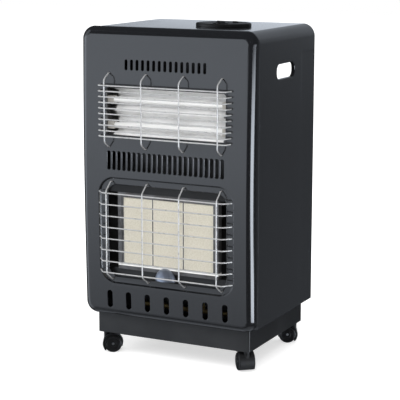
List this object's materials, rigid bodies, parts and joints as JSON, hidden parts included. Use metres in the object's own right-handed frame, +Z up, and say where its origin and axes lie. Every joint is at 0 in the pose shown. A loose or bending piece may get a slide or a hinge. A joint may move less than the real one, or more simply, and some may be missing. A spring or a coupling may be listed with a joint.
{
  "type": "portable gas cabinet heater",
  "caption": "Upright sheet-steel cabinet heater on swivel castors, with a ceramic plaque gas burner and quartz heating tubes behind wire guards, and room for a gas bottle at the back.",
  "frame": {"origin": "on the floor under the middle of the whole heater", "axes": "+Z up, +X to the right as seen from the front, +Y from the front to the back"},
  "size_m": [0.42, 0.3894, 0.7493],
  "materials": {
    "gloss_black_enamel": "gloss",
    "satin_black_paint": "satin",
    "burner_grey": "satin",
    "bright_wire": "bright",
    "polished_aluminium": "polished",
    "frosted_quartz": "frosted",
    "resistance_wire": "oxidised",
    "white_porcelain": "glazed",
    "cream_ceramic": "matt, perforated",
    "zinc_steel": "zinc plated",
    "brass": "turned",
    "aluminium_pipe": "drawn",
    "black_plastic": "semi-gloss",
    "matte_black_plastic": "matt"
  },
  "bodies": {
    "cabinet": {"front_panel": "gloss_black_enamel", "cabinet_wrap": "gloss_black_enamel", "base_tray": "satin_black_paint", "heat_shield": "zinc_steel", "lower_guard": "bright_wire", "upper_guard": "bright_wire", "tube_reflector": "polished_aluminium", "quartz_tube_lower": "frosted_quartz", "quartz_tube_upper": "frosted_quartz", "heating_coil_lower": "resistance_wire", "heating_coil_upper": "resistance_wire", "tube_cap_lower_left": "white_porcelain", "tube_cap_lower_right": "white_porcelain", "tube_cap_upper_left": "white_porcelain", "tube_cap_upper_right": "white_porcelain", "plaque_left": "cream_ceramic", "plaque_middle": "cream_ceramic", "plaque_right": "cream_ceramic", "burner_frame": "burner_grey", "burner_box": "zinc_steel", "burner_hood": "satin_black_paint", "burner_shelf": "satin_black_paint", "mixing_tube_left": "zinc_steel", "mixing_tube_middle": "zinc_steel", "mixing_tube_right": "zinc_steel", "injector_rail": "brass", "pilot_shield": "polished_aluminium", "pilot_burner": "zinc_steel", "thermocouple": "zinc_steel", "spark_electrode": "white_porcelain", "control_bezel": "black_plastic", "gas_valve": "brass", "switch_block": "matte_black_plastic", "gas_inlet": "brass", "gas_pipe": "aluminium_pipe", "pilot_pipe": "aluminium_pipe", "cable_gland": "matte_black_plastic"},
    "rear_cover": {"rear_cover": "gloss_black_enamel", "cover_screw_left": "black_plastic", "cover_screw_right": "black_plastic"},
    "rotor": {"valve_rotor": "brass"},
    "knob": {"control_knob": "black_plastic"},
    "left_rocker": {"rocker_left": "black_plastic"},
    "right_rocker": {"rocker_right": "black_plastic"},
    "castor_front_left": {"castor_front_left_body": "matte_black_plastic", "castor_front_left_axle": "zinc_steel"},
    "castor_front_right": {"castor_front_right_body": "matte_black_plastic", "castor_front_right_axle": "zinc_steel"},
    "castor_rear_left": {"castor_rear_left_body": "matte_black_plastic", "castor_rear_left_axle": "zinc_steel"},
    "castor_rear_right": {"castor_rear_right_body": "matte_black_plastic", "castor_rear_right_axle": "zinc_steel"},
    "front_left_wheel_left": {"castor_front_left_wheel_left": "black_plastic"},
    "front_left_wheel_right": {"castor_front_left_wheel_right": "black_plastic"},
    "front_right_wheel_left": {"castor_front_right_wheel_left": "black_plastic"},
    "front_right_wheel_right": {"castor_front_right_wheel_right": "black_plastic"},
    "rear_left_wheel_left": {"castor_rear_left_wheel_left": "black_plastic"},
    "rear_left_wheel_right": {"castor_rear_left_wheel_right": "black_plastic"},
    "rear_right_wheel_left": {"castor_rear_right_wheel_left": "black_plastic"},
    "rear_right_wheel_right": {"castor_rear_right_wheel_right": "black_plastic"}
  },
  "joints": [
    {"name": "cover_pull", "type": "slide", "parent": "cabinet", "child": "rear_cover", "axis": [0, 1, 0], "range_m": [0, 0.3]},
    {"name": "valve_turn", "type": "hinge", "parent": "cabinet", "child": "rotor", "pos_m": [0.06, -0.02225, 0.72], "axis": [0, 0, 1], "range_deg": [0, 210]},
    {"name": "knob_push", "type": "slide", "parent": "rotor", "child": "knob", "axis": [0, 0, -1], "range_m": [0, 0.0035], "stiffness_N_per_m": 600, "springref_m": -0.003},
    {"name": "rocker_left_press", "type": "hinge", "parent": "cabinet", "child": "left_rocker", "pos_m": [0.041, 0.01675, 0.7398], "axis": [1, 0, 0], "range_deg": [0, 16]},
    {"name": "rocker_right_press", "type": "hinge", "parent": "cabinet", "child": "right_rocker", "pos_m": [0.079, 0.01675, 0.7398], "axis": [1, 0, 0], "range_deg": [0, 16]},
    {"name": "front_left_swivel", "type": "hinge", "parent": "cabinet", "child": "castor_front_left", "pos_m": [-0.176, -0.12625, 0.0467], "axis": [0, 0, 1], "continuous": true},
    {"name": "front_right_swivel", "type": "hinge", "parent": "cabinet", "child": "castor_front_right", "pos_m": [0.176, -0.12625, 0.0467], "axis": [0, 0, 1], "continuous": true},
    {"name": "rear_left_swivel", "type": "hinge", "parent": "cabinet", "child": "castor_rear_left", "pos_m": [-0.176, 0.13375, 0.0467], "axis": [0, 0, 1], "continuous": true},
    {"name": "rear_right_swivel", "type": "hinge", "parent": "cabinet", "child": "castor_rear_right", "pos_m": [0.176, 0.13375, 0.0467], "axis": [0, 0, 1], "continuous": true},
    {"name": "front_left_spin_left", "type": "hinge", "parent": "castor_front_left", "child": "front_left_wheel_left", "pos_m": [-0.16264, -0.11944, 0.02], "axis": [0.454, -0.891, 0], "continuous": true},
    {"name": "front_left_spin_right", "type": "hinge", "parent": "castor_front_left", "child": "front_left_wheel_right", "pos_m": [-0.16264, -0.11944, 0.02], "axis": [0.454, -0.891, 0], "continuous": true},
    {"name": "front_right_spin_left", "type": "hinge", "parent": "castor_front_right", "child": "front_right_wheel_left", "pos_m": [0.16636, -0.11476, 0.02], "axis": [0.766, 0.6428, 0], "continuous": true},
    {"name": "front_right_spin_right", "type": "hinge", "parent": "castor_front_right", "child": "front_right_wheel_right", "pos_m": [0.16636, -0.11476, 0.02], "axis": [0.766, 0.6428, 0], "continuous": true},
    {"name": "rear_left_spin_left", "type": "hinge", "parent": "castor_rear_left", "child": "rear_left_wheel_left", "pos_m": [-0.16301, 0.12625, 0.02], "axis": [-0.5, -0.866, 0], "continuous": true},
    {"name": "rear_left_spin_right", "type": "hinge", "parent": "castor_rear_left", "child": "rear_left_wheel_right", "pos_m": [-0.16301, 0.12625, 0.02], "axis": [-0.5, -0.866, 0], "continuous": true},
    {"name": "rear_right_spin_left", "type": "hinge", "parent": "castor_rear_right", "child": "rear_right_wheel_left", "pos_m": [0.16252, 0.12717, 0.02], "axis": [-0.4384, 0.8988, 0], "continuous": true},
    {"name": "rear_right_spin_right", "type": "hinge", "parent": "castor_rear_right", "child": "rear_right_wheel_right", "pos_m": [0.16252, 0.12717, 0.02], "axis": [-0.4384, 0.8988, 0], "continuous": true}
  ]
}
